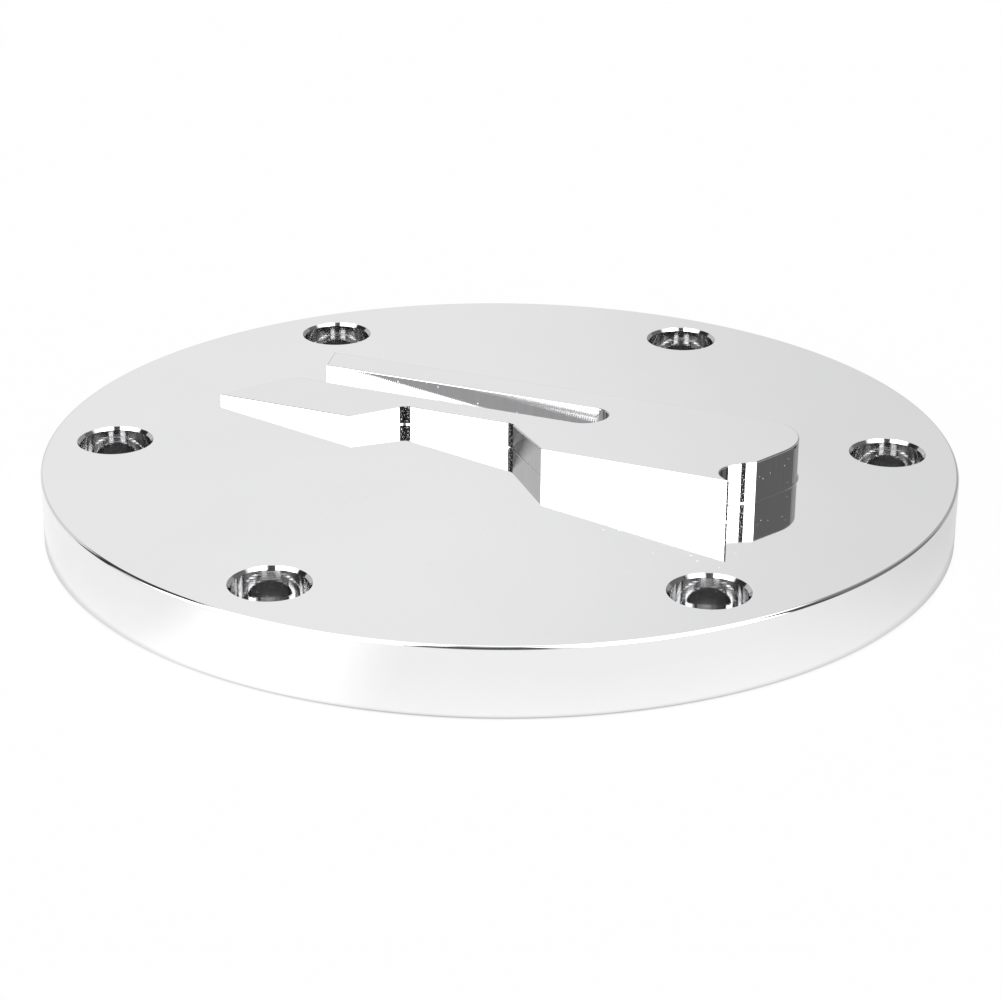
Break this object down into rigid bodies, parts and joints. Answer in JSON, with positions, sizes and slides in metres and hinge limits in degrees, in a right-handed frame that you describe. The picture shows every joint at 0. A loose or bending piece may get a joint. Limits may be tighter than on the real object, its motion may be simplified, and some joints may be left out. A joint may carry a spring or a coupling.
{
  "type": "derby cover",
  "caption": "Round chromed billet derby cover that closes a clutch inspection opening, with counterbored screw holes and a raised sloping figure.",
  "frame": {"origin": "centre of the gasket face on the underside", "axes": "+Z out through the polished face, +X along the raised figure towards its high end"},
  "size_m": [0.155, 0.155, 0.0189],
  "materials": {
    "chrome": "polished chrome plate on aluminium billet"
  },
  "bodies": {
    "root": {"cover": "chrome"}
  },
  "joints": []
}
